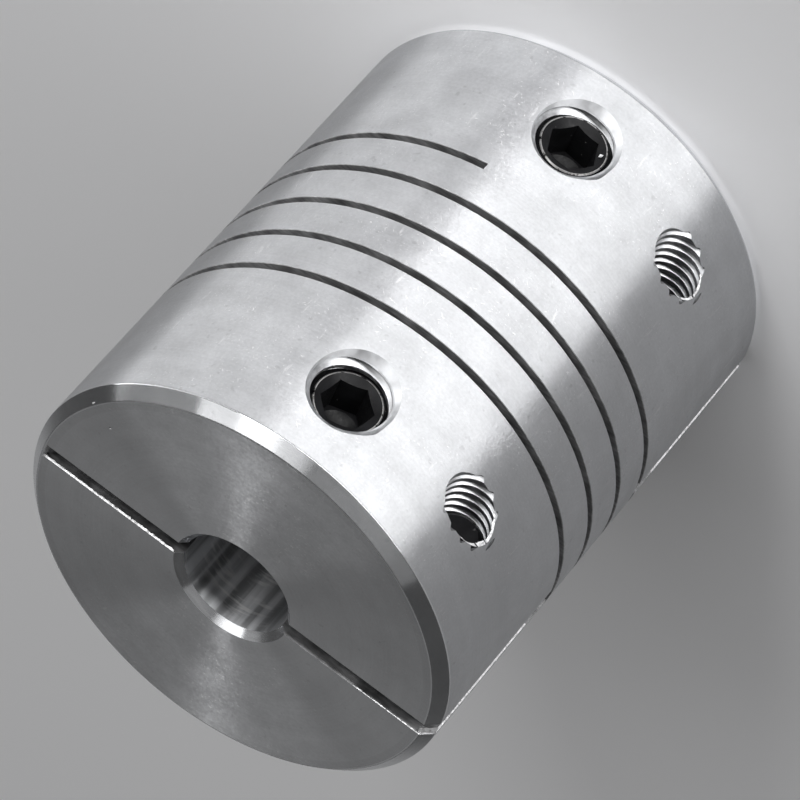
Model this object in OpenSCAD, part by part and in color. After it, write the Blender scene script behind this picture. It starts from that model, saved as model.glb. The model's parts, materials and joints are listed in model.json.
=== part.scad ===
// One-piece helical beam shaft coupling with clamping hubs, standing on its lower end.
// The origin is at the centre of the lower end face, +Z runs along the shafts,
// +X points to the open side of the hub slits and +Y to the set screws.

/* [Body] */
// Outer diameter of the body
body_d = 20; // [18:0.5:30]
// Overall length from end face to end face
body_length = 25; // [23:0.5:40]
// Width of the chamfer round each end
edge_chamfer = 0.5; // [0.2:0.1:1]

/* [Bores] */
// Shaft bore of the upper hub
upper_bore_d = 5; // [3:0.05:7]
// Shaft bore of the lower hub
lower_bore_d = 5; // [3:0.05:7]
// Width of the chamfer at the mouth of each bore
bore_chamfer = 0.3; // [0.1:0.05:0.6]
// Radial clearance of the relieved length between the two bores
relief_depth = 0.3; // [0.1:0.05:0.8]
// Length by which the relief runs past each end of the helical cut
relief_overrun = 0.4; // [0.1:0.1:1]

/* [Helical cut] */
// Width of the helical cut
groove_w = 0.35; // [0.2:0.05:0.6]
// Rise of the helical cut in one turn
groove_pitch = 2.2; // [1.6:0.1:2.3]
// Number of turns that the helical cut makes
groove_turns = 4.5; // [3:0.5:4.5]
// Height of the middle of the helical cut above the middle of the body
groove_shift = 0.2; // [-0.4:0.05:0.4]
// Angle of the lower end of the cut, counted from the open side of the slits
groove_start_angle = 102; // [80:1:110]

/* [Hub slits] */
// Width of the saw cut through each hub
slit_w = 0.8; // [0.5:0.1:1.2]
// Wall that the saw leaves on the closed side of each hub, at the end face
hinge_wall = 0.6; // [0.4:0.1:1.5]
// Diameter of the saw that cuts the slits
saw_d = 40; // [36:1:60]

/* [Set screws] */
// Thread diameter of the set screws
set_thread_d = 4; // [3.5:0.1:4.5]
// Thread pitch of the set screws
set_thread_pitch = 0.7; // [0.5:0.05:0.8]
// Length of a set screw
set_length = 5; // [4:0.5:5.5]
// Width across flats of a set screw's socket
set_socket_af = 2; // [1.5:0.1:2.2]
// Depth of a set screw's socket
set_socket_depth = 2; // [1:0.1:2.5]
// Diameter of the flat left on the outer end of a set screw
set_top_d = 2.86; // [2.6:0.02:2.98]
// Diameter of the cup at the inner end of a set screw
set_cup_d = 2; // [1.2:0.1:2.4]
// Width by which the countersink of a set screw hole runs past its thread
set_countersink_w = 0.07; // [0:0.01:0.3]
// Distance of the upper set screw from the upper end face
upper_set_inset = 4.3; // [4:0.05:4.6]
// Distance of the lower set screw from the lower end face
lower_set_inset = 3.95; // [3.7:0.05:4.6]
// Depth of the upper set screw below the side of the body
upper_set_sunk = 0.9; // [0.3:0.05:1.2]
// Depth of the lower set screw below the side of the body
lower_set_sunk = 0.55; // [0.3:0.05:1.2]
// Turn of the upper set screw's socket about its own axis
upper_set_turn = 18; // [0:1:59]
// Turn of the lower set screw's socket about its own axis
lower_set_turn = 52; // [0:1:59]

/* [Clamp screws] */
// Thread diameter of the clamp screws
clamp_thread_d = 3; // [2.5:0.1:3.2]
// Thread pitch of the clamp screws
clamp_thread_pitch = 0.5; // [0.4:0.05:0.6]
// Length of a clamp screw under its head
clamp_length = 8; // [6:0.5:9]
// Distance of the clamp screws from the side of the body
clamp_side_inset = 3.8; // [3.4:0.1:4.1]
// Distance of the upper clamp screw from the upper end face
upper_clamp_inset = 4.6; // [4.3:0.05:4.9]
// Distance of the lower clamp screw from the lower end face
lower_clamp_inset = 4.4; // [4.1:0.05:4.8]
// Distance of the head seats from the middle of the slit
clamp_seat_depth = 2.2; // [1.6:0.1:2.6]
// Diameter of the counterbore for a clamp screw head
counterbore_d = 6; // [5.7:0.1:6.4]
// Diameter of the clearance hole between the counterbore and the slit
clearance_d = 3.4; // [3.3:0.1:3.8]
// Diameter of a clamp screw head
head_d = 5.5; // [4.5:0.1:5.6]
// Height of a clamp screw head
head_h = 2; // [1.4:0.1:2.4]
// Width of the bevel round a clamp screw head
head_bevel = 0.25; // [0.05:0.05:0.4]
// Width across flats of a clamp screw's socket
clamp_socket_af = 2; // [1.5:0.1:2.5]
// Depth of a clamp screw's socket
clamp_socket_depth = 1.3; // [0.6:0.1:1.3]
// Gap left under the upper clamp screw head
upper_clamp_slack = 0; // [0:0.1:1.5]
// Gap left under the lower clamp screw head, which is screwed in loosely
lower_clamp_slack = 1.3; // [0:0.1:1.5]

/* [Fits] */
// Radial play between a screw and its threaded hole
thread_play = 0.02; // [0.01:0.01:0.05]

/* [Hidden] */
round_fn = 180;
screw_fn = 96;
overcut = 1;
full_turn = 360;
facet_angle = 12;
cup_angle = 90;
aluminium_colour = [0.78, 0.79, 0.81];
black_oxide_colour = [0.09, 0.09, 0.1];

body_r = body_d / 2;

// The helical cut climbs anticlockwise, seen from above
groove_height = groove_pitch * groove_turns;
groove_low_z = body_length / 2 + groove_shift - groove_height / 2;
groove_high_z = groove_low_z + groove_height;
groove_end_angle = groove_start_angle + full_turn * groove_turns;
groove_steps = ceil(full_turn * groove_turns / facet_angle);
relief_d = max(upper_bore_d, lower_bore_d) + 2 * relief_depth;
groove_inner_r = relief_d / 2 - relief_depth - overcut / 2;
groove_outer_r = body_r + overcut;

// Each slit ends where the helical cut first passes the open side
lower_slit_z = groove_z(full_turn);
upper_slit_z = groove_z(full_turn * floor(groove_end_angle / full_turn));
saw_r = saw_d / 2;

set_hole_d = set_thread_d - set_thread_pitch;
set_rim_d = set_thread_d + 2 * set_countersink_w;
set_screw_d = set_hole_d - 2 * thread_play;
clamp_hole_d = clamp_thread_d - clamp_thread_pitch;
clamp_tip_d = clamp_hole_d - 2 * thread_play;
clamp_offset = body_r - clamp_side_inset;

upper_set_z = body_length - upper_set_inset;
lower_set_z = lower_set_inset;
upper_clamp_z = body_length - upper_clamp_inset;
lower_clamp_z = lower_clamp_inset;

// Height of the middle of the helical cut at an angle from the open side of the slits
function groove_z(angle) =
    groove_low_z + groove_pitch * (angle - groove_start_angle) / full_turn;

// Diameter across the corners of a hexagon from its width across flats
function across_corners(flats) = flats / cos(30);

// Four corners of the helical cut's section at one angle, from the low inner one round
function groove_section(angle) = [
    for (corner = [[groove_inner_r, -1], [groove_outer_r, -1], [groove_outer_r, 1], [groove_inner_r, 1]])
        [
            corner[0] * cos(angle),
            corner[0] * sin(angle),
            groove_z(angle) + corner[1] * groove_w / 2
        ]
];

module helical_cut() {
    step = full_turn * groove_turns / groove_steps;
    last = 4 * groove_steps;
    points = [
        for (i = [0:groove_steps])
            each groove_section(groove_start_angle + i * step)
    ];
    sides = [
        for (i = [0:groove_steps - 1], j = [0:3])
            let (a = 4 * i + j, b = 4 * i + (j + 1) % 4)
                each [[a, b, b + 4], [a, b + 4, a + 4]]
    ];
    low_end = [[0, 3, 2], [0, 2, 1]];
    high_end = [[last, last + 1, last + 2], [last, last + 2, last + 3]];
    polyhedron(points = points, faces = concat(low_end, sides, high_end), convexity = 10);
}

// Turned blank with its chamfered ends, before any hole is cut
module blank() {
    rotate_extrude($fn = round_fn)
        polygon([
            [0, 0],
            [body_r - edge_chamfer, 0],
            [body_r, edge_chamfer],
            [body_r, body_length - edge_chamfer],
            [body_r - edge_chamfer, body_length],
            [0, body_length]
        ]);
}

// The two shaft bores, their mouths and the relieved length between them
module shaft_bores() {
    lower_r = lower_bore_d / 2;
    upper_r = upper_bore_d / 2;
    relief_r = relief_d / 2;
    relief_low_z = groove_low_z - relief_overrun;
    relief_high_z = groove_high_z + relief_overrun;
    rotate_extrude($fn = round_fn)
        polygon([
            [0, -overcut],
            [lower_r + bore_chamfer + overcut, -overcut],
            [lower_r, bore_chamfer],
            [lower_r, relief_low_z],
            [relief_r, relief_low_z],
            [relief_r, relief_high_z],
            [upper_r, relief_high_z],
            [upper_r, body_length - bore_chamfer],
            [upper_r + bore_chamfer + overcut, body_length + overcut],
            [0, body_length + overcut]
        ]);
}

// Saw cut in from the open side: its floor is straight, then an arc up to the closed side.
// depth is measured from the end face, which lies in the plane z = 0 with the hub below.
module hub_slit(depth) {
    saw_z = saw_r - depth;
    saw_x = hinge_wall - body_r + sqrt(saw_r * saw_r - saw_z * saw_z);
    translate([saw_x, 0, saw_z])
        rotate([90, 0, 0])
            cylinder(r = saw_r, h = slit_w, center = true, $fn = round_fn);
    translate([saw_x, -slit_w / 2, -depth])
        cube([body_d, slit_w, depth + overcut]);
}

// Tapped hole from the bore out to the side, with its countersunk mouth
module set_screw_hole() {
    drop = (set_rim_d - set_hole_d) / 2;
    rotate([-90, 0, 0]) {
        cylinder(d = set_hole_d, h = body_r + overcut, $fn = screw_fn);
        translate([0, 0, body_r - drop])
            cylinder(
                d1 = set_hole_d,
                d2 = set_rim_d + 2 * overcut,
                h = drop + overcut,
                $fn = screw_fn
            );
    }
}

// Counterbore, clearance hole and tapped hole on one line across the slit
module clamp_screw_hole() {
    translate([clamp_offset, 0, 0])
        rotate([-90, 0, 0]) {
            cylinder(d = clamp_hole_d, h = body_r + overcut, $fn = screw_fn);
            translate([0, 0, -clamp_seat_depth - overcut])
                cylinder(d = clearance_d, h = clamp_seat_depth + overcut, $fn = screw_fn);
            translate([0, 0, -body_r - overcut])
                cylinder(
                    d = counterbore_d,
                    h = body_r + overcut - clamp_seat_depth,
                    $fn = screw_fn
                );
        }
}

module coupling_body() {
    color(aluminium_colour)
        difference() {
            blank();
            shaft_bores();
            helical_cut();
            translate([0, 0, body_length])
                hub_slit(body_length - upper_slit_z);
            mirror([0, 0, 1])
                hub_slit(lower_slit_z);
            for (z = [lower_set_z, upper_set_z])
                translate([0, 0, z])
                    set_screw_hole();
            for (z = [lower_clamp_z, upper_clamp_z])
                translate([0, 0, z])
                    clamp_screw_hole();
        }
}

// Hexagon socket sunk from the plane z = 0
module socket(flats, depth) {
    translate([0, 0, -depth])
        cylinder(d = across_corners(flats), h = depth + overcut, $fn = 6);
}

// Headless screw with its outer end in the plane z = 0 and a cup at its inner end
module set_screw(turn) {
    r = set_screw_d / 2;
    top_bevel = r - set_top_d / 2;
    cup_r = set_cup_d / 2;
    cup_depth = cup_r / tan(cup_angle / 2);
    tip_bevel = (r - cup_r) / 2;
    color(black_oxide_colour)
        difference() {
            rotate_extrude($fn = screw_fn)
                polygon([
                    [0, cup_depth / 2 - set_length],
                    [cup_r / 2, cup_depth / 2 - set_length],
                    [cup_r, -set_length],
                    [r - tip_bevel, -set_length],
                    [r, tip_bevel - set_length],
                    [r, -top_bevel],
                    [set_top_d / 2, 0],
                    [0, 0]
                ]);
            rotate([0, 0, turn])
                socket(set_socket_af, set_socket_depth);
        }
}

module placed_set_screw(z, sunk, turn) {
    translate([0, body_r - sunk, z])
        rotate([-90, 0, 0])
            set_screw(turn);
}

// Low cap head screw, pointing up, with its head seat in the plane z = 0.
// grip is the length from the seat to the far wall of the slit, where its thread bites.
module clamp_screw(grip) {
    shank_r = clamp_thread_d / 2;
    tip_r = clamp_tip_d / 2;
    tip_bevel = clamp_thread_pitch;
    bite = grip - thread_play;
    color(black_oxide_colour)
        difference() {
            rotate_extrude($fn = screw_fn)
                polygon([
                    [0, -head_h],
                    [head_d / 2 - head_bevel, -head_h],
                    [head_d / 2, head_bevel - head_h],
                    [head_d / 2, 0],
                    [shank_r, 0],
                    [shank_r, bite],
                    [tip_r, bite],
                    [tip_r, clamp_length - tip_bevel],
                    [tip_r - tip_bevel, clamp_length],
                    [0, clamp_length]
                ]);
            translate([0, 0, -head_h])
                mirror([0, 0, 1])
                    socket(clamp_socket_af, clamp_socket_depth);
        }
}

module placed_clamp_screw(z, slack) {
    seat = clamp_seat_depth + slack;
    translate([clamp_offset, -seat, z])
        rotate([-90, 0, 0])
            clamp_screw(seat + slit_w / 2);
}

module upper_set_screw() {
    placed_set_screw(upper_set_z, upper_set_sunk, upper_set_turn);
}

module lower_set_screw() {
    placed_set_screw(lower_set_z, lower_set_sunk, lower_set_turn);
}

module upper_clamp_screw() {
    placed_clamp_screw(upper_clamp_z, upper_clamp_slack);
}

module lower_clamp_screw() {
    placed_clamp_screw(lower_clamp_z, lower_clamp_slack);
}

coupling_body();
upper_set_screw();
lower_set_screw();
upper_clamp_screw();
lower_clamp_screw();
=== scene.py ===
"""Looks of a helical beam shaft coupling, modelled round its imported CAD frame.

The part stands on its lower end. +Z runs along the shafts, +X points to the open side of the
hub slits and +Y to the set screws. All lengths are in metres.
"""

import json
import math
from collections import Counter, namedtuple
from functools import partial

import bmesh
import bpy
from bpy.props import FloatProperty, FloatVectorProperty, IntProperty
from mathutils import Matrix, Vector


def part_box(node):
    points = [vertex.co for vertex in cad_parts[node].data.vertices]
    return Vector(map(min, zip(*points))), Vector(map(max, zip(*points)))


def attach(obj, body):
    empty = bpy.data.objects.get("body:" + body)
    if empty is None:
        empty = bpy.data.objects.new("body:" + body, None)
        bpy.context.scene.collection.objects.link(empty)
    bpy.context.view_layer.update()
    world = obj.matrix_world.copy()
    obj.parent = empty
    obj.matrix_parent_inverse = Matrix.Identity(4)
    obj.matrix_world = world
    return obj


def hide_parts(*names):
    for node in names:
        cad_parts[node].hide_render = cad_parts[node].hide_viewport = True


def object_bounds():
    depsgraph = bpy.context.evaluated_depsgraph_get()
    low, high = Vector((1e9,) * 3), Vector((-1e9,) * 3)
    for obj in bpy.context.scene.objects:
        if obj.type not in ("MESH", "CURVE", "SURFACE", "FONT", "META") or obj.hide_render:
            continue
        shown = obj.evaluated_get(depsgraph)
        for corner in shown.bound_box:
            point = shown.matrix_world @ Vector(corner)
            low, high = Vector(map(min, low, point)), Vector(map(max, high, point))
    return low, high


bl_info = {
    "name": "Helical beam coupling",
    "version": (1, 0, 0),
    "blender": (4, 5, 0),
    "location": "View3D > Sidebar > Coupling",
    "description": "Models the finish of a slit and screwed shaft coupling and sets its stage",
    "category": "Add Mesh",
}

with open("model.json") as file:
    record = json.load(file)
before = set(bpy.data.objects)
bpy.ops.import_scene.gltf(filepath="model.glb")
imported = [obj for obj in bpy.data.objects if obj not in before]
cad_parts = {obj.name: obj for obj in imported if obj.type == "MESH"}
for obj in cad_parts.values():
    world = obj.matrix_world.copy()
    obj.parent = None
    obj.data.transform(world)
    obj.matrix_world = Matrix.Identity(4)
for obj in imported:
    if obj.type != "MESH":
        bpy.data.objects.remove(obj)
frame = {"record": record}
CAD_LOW, CAD_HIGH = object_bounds()

Thread = namedtuple("Thread", "radius minor pitch start")
Noise = namedtuple("Noise", "scale detail roughness stretch span", defaults=(2, 0.5, None, None))
Look = namedtuple("Look", "noise shade gloss bump")

MM = 0.001
TURN = 2 * math.pi
HEXAGON = 6
MERGE_DISTANCE = 0.001 * MM
SMOOTH_ANGLE = 10
ROOT = "root"
SET_SCREWS = ("lower_set_screw", "upper_set_screw")
CLAMP_SCREWS = ("lower_clamp_screw", "upper_clamp_screw")

# Allowances and fineness of the cuts
OVERCUT = 0.6 * MM
GROOVE_OVERCUT = 0.2 * MM
THREAD_OVERCUT = 0.05 * MM
EDGE_BREAK = 0.02 * MM
FLANK_SLOPE = math.tan(math.radians(30))
THREAD_FLAT = 1 / 16
THREAD_STEPS = 48
GROOVE_STEPS = 120
SAW_SIDES = 256
POINT_SIDES = 48
SET_TAP_START = 0.85 * MM
COUNTERSINK_DEPTH = 0.34 * MM
# Width of the rubbed ring on a set screw's edge, partly a painted highlight, and of the round there
EDGE_WEAR_AND_HIGHLIGHT = 0.04 * MM
PIT_RADIUS = 0.13 * MM
PIT_PLACE = (-7.25 * MM, 4.1 * MM, 0)
PIT_SIDES = 12

# Torn lips. A lean counts in LIP_REACH and a jag in LIP_JAG
LIP_REACH = 0.035 * MM
LIP_SINK = 0.015 * MM
LIP_STEP = 0.09 * MM
LIP_JAG = 0.028 * MM
LIP_THICKNESS = 0.012 * MM
SIDE_LIP_SHARE = 0.998
OPEN_LIP_START = 6.2 * MM
OPEN_LIP_SHARE = 0.4
CORNER_LEAN = 11
CHIP_REACH = 1.05 * MM
CHIP_DROP = 0.28 * MM
CHIP_LEAN = (4, 2, 0)
NICK_PLACE = (-0.87, 0.49)
NICK_SPREAD = 1.012
NICK_STEPS = 4
NICK_LEAN = (2, 3, 0)
RIM_STEP = 4
RIM_RISE = 0.55
RIM_JAG = 1.8
# Screw, label, first and last angle in degrees, reach and seed of each lip round a clamp hole
RIM_LIPS = (
    ("upper_clamp_screw", "rim", -52, 4, 3, 11),
    ("upper_clamp_screw", "curl", 8, 28, 5, 12),
    ("upper_clamp_screw", "rim_end", 32, 68, 3.4, 13),
    ("lower_clamp_screw", "rim", -40, 4, 2.6, 14),
    ("lower_clamp_screw", "curl", 8, 40, 3, 15),
)

# Noises of the finishes, with their scale to the metre. A span is the part of a noise's range
# that is used, followed by what its ends give where the first isn't 0 or the second isn't 1
FINE_RINGS = Noise(9000, 3)
BROAD_RINGS = Noise(1100)
CLOUDS = Noise(420, 4, 0.6)
GRAIN = Noise(9000)
MOTTLE = Noise(7500, 3)
SCUFFS = Noise(2600, 5, 0.75, (1, 1, 0.22), (0.60, 0.74))
HANDLED = Noise(380, 3, span=(0.41, 0.58))
SCRATCHES = Noise(14000, span=(0.68, 0.74))
SPECKS = Noise(3200, 1, span=(0.70, 0.78))
BORE_BANDS = Noise(2100, 3, 0.5, (1, 1, 0.03))
BORE_SCORES = Noise(5200, 3, 0.5, (0.15, 0.15, 1))
BORE_PATCHES = Noise(600, span=(0.42, 0.56))
CUT_MARKS = Noise(7000, 3, 0.5, (0.2, 1, 1))
CUT_PATCHES = Noise(1200, 3)
TAP_TEARS = Noise(1600, 4, 0.6, (1, 3, 1))
TAP_PATCHES = Noise(900, span=(0.35, 0.6, 0.7))
OXIDE_GRAIN = Noise(9000, 3)
OXIDE_PATCHES = Noise(1300, 3, span=(0.35, 0.7))
OXIDE_SPECKS = Noise(4200, span=(0.72, 0.78))
RUBBED = Noise(2600, 3, 0.7)
# Lean of each lay of scratches, and how far it is stretched
SCRATCH_LAYS = ((-0.54, 0.16), (0.9, 0.12), (0.2, 0.2))

# Spans that turn a noise into shade, gloss or height
CLOUD_SHADE = (0.35, 0.65, 0.86)
MOTTLE_SHADE = (0.35, 0.65, 0.93)
RING_SHADE = (0.3, 0.7, 0.97)
CLOUD_HEIGHT = (0.4, 0.6, 0.6)
SCORE_SPAN = (0.50, 0.62)
BORE_SHADE = (0.40, 0.60, 0.62)
BORE_GLOSS = (0.3, 0.7, 0.34, 0.52)
CUT_SHADE = (0.3, 0.7, 0.55)
CUT_PATCH_SHADE = (0.3, 0.7, 0.6)
CUT_GLOSS = (0.3, 0.7, 0.42, 0.6)
TAP_SHADE = (0.35, 0.6, 0.5, 0.85)
TAP_GLOSS = (0.3, 0.7, 0.34, 0.5)
OXIDE_GLOSS = (0.3, 0.7, 0.3, 0.48)
RUBBED_SPAN = (0.37, 0.48)
RUBBED_GLOSS = (0.3, 0.7, 0.45, 0.25)

# Finishes that take their shade, gloss and bump from one noise: the chamfers of the bores, the dull
# seats of the screws, and the burrs, whose pale, half-diffuse colour is partly a painted glint
CHAMFERED = Look(Noise(7000, 2, 0.5, (0.1, 0.1, 1)), (0.35, 0.65, 0.85), None, 1e-6)
COUNTERSUNK = Look(Noise(1900, 3), (0.35, 0.6, 0.68, 0.82), (0.3, 0.7, 0.40, 0.52), 3e-6)
TORN = Look(Noise(5200, 3, 0.7), (0.35, 0.55, 0.45, 1.0), (0.3, 0.7, 0.6, 0.4), 1e-5)

# Shares of the turned finish, depths of the bumps and colours that the finishes have in common
CHAMFER_BLEND = 0.02 * MM
RIM_SHARE = 0.905
RIM_BLEND = 0.05 * MM
RIM_SHADE = 0.95
FLAT_END = (0.07 * MM, 0.05 * MM)
SPECK_DEPTH = 0.10
SCUFF_STRENGTH = 0.8
SCORE_STRENGTH = 0.85
OXIDE_SPECK_STRENGTH = 0.25
CLOUD_GLOSS = 0.10
SCUFF_GLOSS = 0.12
MOTTLE_GLOSS = 0.16
MEAN_GLOSS = 0.13
CHAMFER_EVENNESS = 0.8
RING_HEIGHT = 0.15
GRAIN_HEIGHT = 0.2
SCUFF_DEPTH = 0.3
SMOOTHING = 0.9
# Darkest share of the painted shade in the roots of a tapped thread
PAINTED_ROOT_SHADE = 0.35
OXIDE_SPECULAR = 0.12
QUARTER_TURN = 0.25
OXIDE_BUMP = 1.5e-6
TAP_BUMP = 2.5e-6
CUT_BUMP = 3e-6
BLACK = (0, 0, 0)
SCUFFED = (0.97, 0.97, 0.98)
SCORED = (0.97, 0.97, 0.97)
# Pale colour of the burrs, a painted glint as much as torn metal
TORN_GLINT_COLOUR = (0.96, 0.96, 0.97)

# Stage, with lengths in metres and the sensor's width in millimetres
FLOOR_SIZE = 6
FLOOR_GAP = 0.01 * MM
FLOOR_ROUGHNESS = 0.8
SENSOR_WIDTH = 36
CLIP_START = 0.01
CAMERA_AIM = (0.094 * MM, -0.073 * MM, 12.582 * MM)
LAMP_DISTANCE = 0.5
AREA_LAMP_WATTS = 4
# Name, longitude and latitude in degrees, width, height and brightness of each lamp
LAMPS = (
    ("front", 75.5, 5, 0.767, 0.11, 9.9),
    ("key", 120, 30, 0.153, 0.176, 6.1),
    ("side", 160, 8.5, 0.577, 0.15, 3.3),
    ("high", 128, 50, 0.40, 0.15, 1.2),
    ("over", 58, 52, 0.60, 0.20, 0.18),
    ("over_side", 174, 44, 0.26, 0.20, 0.2),
    ("behind", 262, 38, 0.40, 0.35, 0.12),
)


def mount_radius(name):
    """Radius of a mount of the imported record."""
    mounts = {mount["name"]: mount for mount in frame["record"]["mounts"]}
    return mounts[name]["dims"]["r_mm"] * MM


def node_middle(name):
    """Middle of a CAD node's box."""
    low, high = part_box(name)
    return (low + high) / 2


BODY_RADIUS = CAD_HIGH.y
BODY_LENGTH = CAD_HIGH.z
UPPER_BORE_RADIUS = mount_radius("upper_bore")
LOWER_BORE_RADIUS = mount_radius("lower_bore")


def prop(kind, title, text, value, **extra):
    """A property with its name, description and default."""
    return kind(name=title, description=text, default=value, **extra)


def angle(title, text, degrees):
    """An angle property with its default in degrees."""
    return prop(FloatProperty, title, text, math.radians(degrees), subtype="ANGLE")


length = partial(prop, FloatProperty, min=0.0, precision=6, unit="LENGTH")
factor = partial(prop, FloatProperty, min=0.0, max=1.0, subtype="FACTOR")
number = partial(prop, FloatProperty)
count = partial(prop, IntProperty, min=3)
colour = partial(prop, FloatVectorProperty, size=3, min=0.0, max=1.0, subtype="COLOR")
point = partial(prop, FloatVectorProperty, size=3, subtype="TRANSLATION", unit="LENGTH")


class BodySettings(bpy.types.PropertyGroup):
    """Sizes of the turned, bored, slit and screw-cut body."""

    segments: count("Segments", "Sides of each turned surface", 360)
    edge_chamfer: length("Edge chamfer", "Width of the chamfer round each end", 0.5 * MM)
    edge_softness: length("Edge softness", "Rounding of the turned edges", 0.03 * MM)
    bore_chamfer: length("Bore chamfer", "Width of the chamfer at each bore", 0.3 * MM)
    relief_depth: length("Relief depth", "Depth of the relief between the bores", 0.3 * MM)
    relief_overrun: length("Relief overrun", "Length of the relief past the cut", 0.4 * MM)
    groove_width: length("Cut width", "Width of the helical cut", 0.35 * MM)
    groove_pitch: length("Cut pitch", "Rise of the helical cut in one turn", 2.2 * MM)
    groove_turns: number("Cut turns", "Number of turns of the helical cut", 4.5)
    groove_shift: length("Cut shift", "Height of the cut above the middle", 0.2 * MM)
    groove_start: angle("Cut start", "Angle of the lower end of the cut", 102)
    slit_width: length("Slit width", "Width of the saw cut through each hub", 0.8 * MM)
    hinge_wall: length("Hinge wall", "Wall left on the closed side of a slit", 0.6 * MM)
    saw_radius: length("Saw radius", "Radius of the slitting saw", 20 * MM)


class ScrewSettings(bpy.types.PropertyGroup):
    """Sizes of the set screws, the clamp screws and their tapped holes."""

    segments: count("Segments", "Sides of each round surface of a screw", 96)
    thread_play: length("Thread play", "Gap between a screw and its tapped hole", 0.02 * MM)
    set_radius: length("Set screw radius", "Outer radius of the set screw thread", 2 * MM)
    set_pitch: length("Set screw pitch", "Pitch of the set screw thread", 0.7 * MM)
    set_flat: length("Set screw flat", "Radius of the flat on the outer end", 1.43 * MM)
    set_cup: length("Set screw cup", "Radius of the cup at the inner end", 1 * MM)
    set_socket: length("Set screw socket", "Width across flats of the socket", 2 * MM)
    set_depth: length("Set screw socket depth", "Depth of the socket", 2 * MM)
    upper_turn: angle("Upper socket turn", "Turn of the upper set screw's socket", 18)
    lower_turn: angle("Lower socket turn", "Turn of the lower set screw's socket", 52)
    countersink: length("Countersink", "Width of the countersink past the thread", 0.07 * MM)
    clamp_radius: length("Clamp screw radius", "Outer radius of its thread", 1.42 * MM)
    clamp_minor: length("Clamp hole radius", "Radius of the crests in its tapped hole", 1.24 * MM)
    set_minor: length("Set screw hole radius", "Radius of the crests in its hole", 1.65 * MM)
    set_dish: length("Set screw dish", "Depth of the dished outer end", 0.2 * MM)
    clamp_pitch: length("Clamp screw pitch", "Pitch of the clamp screw thread", 0.5 * MM)
    clamp_seat: length("Head seat", "Distance of the head seat from the slit's middle", 2.2 * MM)
    head_height: length("Head height", "Height of a clamp screw head", 2 * MM)
    head_bevel: length("Head bevel", "Bevel round a clamp screw head", 0.25 * MM)
    head_socket: length("Head socket", "Width across flats of the head's socket", 2 * MM)
    head_depth: length("Head socket depth", "Depth of the head's socket", 1.3 * MM)
    counterbore: length("Counterbore", "Radius of the counterbore for the head", 3 * MM)
    clearance: length("Clearance hole", "Radius of the hole between seat and slit", 1.7 * MM)


class FinishSettings(bpy.types.PropertyGroup):
    """Colours and surface finish of the coupling."""

    aluminium: colour("Aluminium", "Colour of the bare aluminium", (0.80, 0.81, 0.83))
    cut_aluminium: colour("Cut aluminium", "Colour inside the cuts", (0.66, 0.66, 0.67))
    black_oxide: colour("Black oxide", "Colour of the screws", (0.005, 0.005, 0.0055))
    # Also paints the highlight on the edge of a set screw's flat end, as a pale ring of bare steel
    worn_and_highlight_steel: colour("Worn steel", "Colour of the rubbed screw edges", (0.62, 0.61, 0.60))
    turned_roughness: factor("Turned roughness", "Roughness of the turned surfaces", 0.36)
    turned_grain: factor("Turned grain", "How far the turning marks stretch a highlight", 0.97)
    chamfer_reach: length("Chamfer reach", "Width of the smoother finish at each rim", 0.57 * MM)
    chamfer_roughness: factor("Chamfer roughness", "Roughness of the edge chamfers", 0.19)
    turned_relief: length("Turned relief", "Depth of the turning marks", 0.0068 * MM)


class StageSettings(bpy.types.PropertyGroup):
    """Floor, lamps and camera."""

    floor_colour: colour("Floor", "Colour of the floor", (0.84, 0.84, 0.85))
    world_strength: number("World strength", "Strength of the even light all round", 0.08)
    camera_aim: point("Camera aim", "Point that the camera looks at", CAMERA_AIM)
    camera_distance: length("Camera distance", "Distance from the point aimed at", 238.03 * MM)
    camera_longitude: angle("Camera longitude", "Angle of the camera from +X", 81.505)
    camera_latitude: angle("Camera latitude", "Angle of the camera above the floor", 35.205)
    camera_roll: angle("Camera roll", "Turn of the camera about its own line", -138.776)
    camera_lens: number("Camera lens", "Focal length in millimetres", 259.887)


GROUPS = {
    "coupling_body": BodySettings,
    "coupling_screws": ScrewSettings,
    "coupling_finish": FinishSettings,
    "coupling_stage": StageSettings,
}


# Modelling helpers


def go(mode):
    """Changes the mode of the active piece."""
    bpy.ops.object.mode_set(mode=mode)


def modify(piece, kind, **settings):
    """Adds a modifier to the active piece, sets it up and applies it."""
    bpy.ops.object.modifier_add(type=kind)
    modifier = piece.modifiers[-1]
    for name, value in settings.items():
        setattr(modifier, name, value)
    bpy.ops.object.modifier_apply(modifier=modifier.name)


def leave_selection():
    """Goes to object mode with nothing selected."""
    if bpy.context.object and bpy.context.object.mode != "OBJECT":
        go("OBJECT")
    bpy.ops.object.select_all(action="DESELECT")


def pick(piece):
    """Makes a piece the only one selected."""
    leave_selection()
    piece.select_set(True)
    bpy.context.view_layer.objects.active = piece


def clean_mesh():
    """Merges doubles and turns the faces outwards, in edit mode."""
    bpy.ops.mesh.select_all(action="SELECT")
    bpy.ops.mesh.remove_doubles(threshold=MERGE_DISTANCE)
    bpy.ops.mesh.normals_make_consistent(inside=False)


def start_line(name, place):
    """A new piece with one vertex at a place, left in edit mode with it selected."""
    leave_selection()
    bpy.ops.mesh.primitive_plane_add(size=MM)
    piece = bpy.context.object
    piece.name = name
    go("EDIT")
    bpy.ops.mesh.select_mode(type="VERT")
    bpy.ops.mesh.select_all(action="SELECT")
    bpy.ops.mesh.merge(type="CENTER")
    bpy.ops.transform.translate(value=place)
    return piece


def extrude(step):
    """Extrudes what is selected by a step."""
    bpy.ops.mesh.extrude_region_move(TRANSFORM_OT_translate={"value": step})


def trace(name, outline):
    """Draws a line through (radius, height) points, one vertex extruded from point to point.
    It is left in edit mode with all of it selected."""
    place = Vector((outline[0][0], 0, outline[0][1]))
    piece = start_line(name, place)
    for radius, height in outline[1:]:
        step = Vector((radius, 0, height)) - place
        place += step
        extrude(step)
    bpy.ops.mesh.select_all(action="SELECT")
    return piece


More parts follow.
